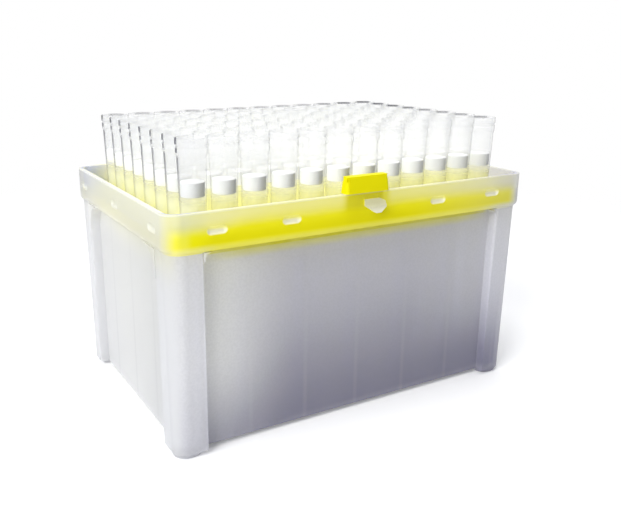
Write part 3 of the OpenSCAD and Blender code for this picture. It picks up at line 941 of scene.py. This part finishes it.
rim_z, point_z = tip_high.z, tip_low.z
second_z = rim_z - RING - GROOVE
bend_z = point_z + CONE_BEND_UP
step_z = PLATE_TOP + BORE_STEP + STEP_UP
bore_top_r = SLEEVE_TOP_R - WALL + BORE_FLARE
tip_outline = [
    (bore_top_r, rim_z), (rim_radius, rim_z), (rim_radius, rim_z - RING),
    (SLEEVE_TOP_R, rim_z - RING), (SLEEVE_TOP_R, second_z), (SECOND_RING_R, second_z),
    (SECOND_RING_R, second_z - RING), (SLEEVE_TOP_R, second_z - RING - GROOVE),
    (SLEEVE_FOOT_R, PLATE_TOP), (CONE_TOP_R, PLATE_TOP), (CONE_BEND_R, bend_z),
    (POINT_R, point_z), (POINT_BORE_R, point_z), (CONE_BEND_R - WALL, bend_z),
    (CONE_TOP_R - WALL, step_z - BORE_STEP), (SLEEVE_FOOT_R - WALL, step_z)]
tip_skin = spun("tip", tip_outline, True, TIP_ROUNDING)

plug_r = (plug_high.x - plug_low.x) / 2
plug_foot_r = plug_r - PLUG_TAPER
plug_outline = [(0.0, plug_low.z), (plug_foot_r, plug_low.z),
                (plug_r, plug_high.z), (0.0, plug_high.z)]
plug_skin = spun("plug", plug_outline, False, PLUG_ROUNDING)

# %% [markdown]
# ## Filling the rack
# Every column of eight is one piece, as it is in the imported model, so that a column can be
# lifted out whole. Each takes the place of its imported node, which is still there for the
# physics. The Weighted Normal modifier keeps the long walls straight in their shading and
# leaves the turn of the light to the rounded corners. Tips and plugs cast no shadows, which
# lets light reach the deck and the inside of the box.

# %% Fill the rack


def column(name, skin, at_x, finish, node):
    """Eight copies of a skin down one column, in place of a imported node."""
    build = bmesh.new()
    for y in row_y:
        before = len(build.verts)
        build.from_mesh(skin)
        build.verts.ensure_lookup_table()
        bmesh.ops.translate(build, verts=build.verts[before:], vec=(at_x, y, 0.0))
    mesh = bpy.data.meshes.new(name)
    build.to_mesh(mesh)
    build.free()
    mesh.materials.append(finish)
    piece = bpy.data.objects.new(name, mesh)
    bpy.context.scene.collection.objects.link(piece)
    even = piece.modifiers.new("even_shading", "WEIGHTED_NORMAL")
    even.keep_sharp = True
    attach(piece, "root")
    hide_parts(node)
    piece.visible_shadow = False


for tips_node, plugs_node in zip(columns, plugs):
    number = tips_node[-2:]
    at_x = column_x[tips_node]
    column("clear_tips_" + number, tip_skin, at_x, tip_finish, tips_node)
    column("filter_plugs_" + number, plug_skin, at_x, plug_finish, plugs_node)
print("columns", len(columns), "of", ROWS)

# %% [markdown]
# ## Base and plate
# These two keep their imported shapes, which have all the edges and radii that show, and only
# get their finishes.

# %% Dress the base and the plate
for name, finish in (("rack_base", base_finish), ("tip_plate", plate_finish)):
    nodes[name].data.materials.clear()
    nodes[name].data.materials.append(finish)
    print(name, "wears", finish.name)

# %% [markdown]
# ## Floor
# A plain pale sheet, marked as stage so that it isn't taken for a part of the box. Far from
# A plain pale sheet. Far from the box it thins out into the white of the room, so that no
# horizon shows.

# %% Lay the floor
FLOOR_HALF = 3.0
FLOOR_TINT = rgb(0.95, 0.95, 0.95)
THINNING = (0.03, 0.13)

sheet = bpy.data.meshes.new("floor")
build = bmesh.new()
bmesh.ops.create_grid(build, x_segments=1, y_segments=1, size=FLOOR_HALF)
build.to_mesh(sheet)
build.free()
floor = bpy.data.objects.new("floor", sheet)
bpy.context.scene.collection.objects.link(floor)
pale = Finish("floor")
x, y, z = pale.parts(pale.spot())
far = pale.ramp(x * x + y * y, *THINNING)
paper = pale.node("ShaderNodeBsdfDiffuse", {}, {"Color": FLOOR_TINT})
open_room = pale.node("ShaderNodeBsdfTransparent", {}, {"Color": CLEAR})
sheet.materials.append(pale.finish(pale.mixed(far, paper, open_room)))

# %% [markdown]
# ## Seeing through many walls
# A look across the rack passes up to a dozen tips, each with four surfaces, so a ray has to
# be allowed well over that many clear surfaces before it gives up. Colours are kept as they
# are, with no film look on top.

# %% Light settings
CLEAR_SURFACES = 160

scene = bpy.context.scene
scene.cycles.transparent_max_bounces = CLEAR_SURFACES
scene.view_settings.view_transform = "Standard"
scene.view_settings.look = "None"
print("clear surfaces allowed", scene.cycles.transparent_max_bounces)
